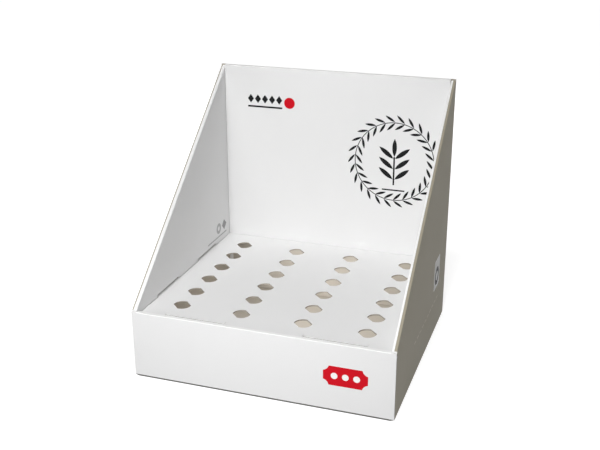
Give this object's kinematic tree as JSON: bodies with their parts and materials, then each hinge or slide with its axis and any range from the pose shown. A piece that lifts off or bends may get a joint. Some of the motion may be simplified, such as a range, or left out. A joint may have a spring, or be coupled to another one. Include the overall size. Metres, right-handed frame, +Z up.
{
  "type": "counter display box",
  "caption": "Open-topped counter display of folded corrugated board, with a low front, slanted sides, a tall back and a raised deck with a grid of holes.",
  "frame": {"origin": "underside of the base, at the middle of the outside box", "axes": "+Z up, the low front wall faces -Y, +X is to the right of someone facing the front"},
  "size_m": [0.27, 0.245, 0.275],
  "materials": {
    "body_board": "matt coated white print inside and on the front, taupe print on the sides and back, bare grey-brown reverse",
    "deck_board": "matt coated white print on top, bare grey-brown reverse below"
  },
  "bodies": {
    "root": {"display_body": "body_board", "holed_deck": "deck_board"}
  },
  "joints": []
}
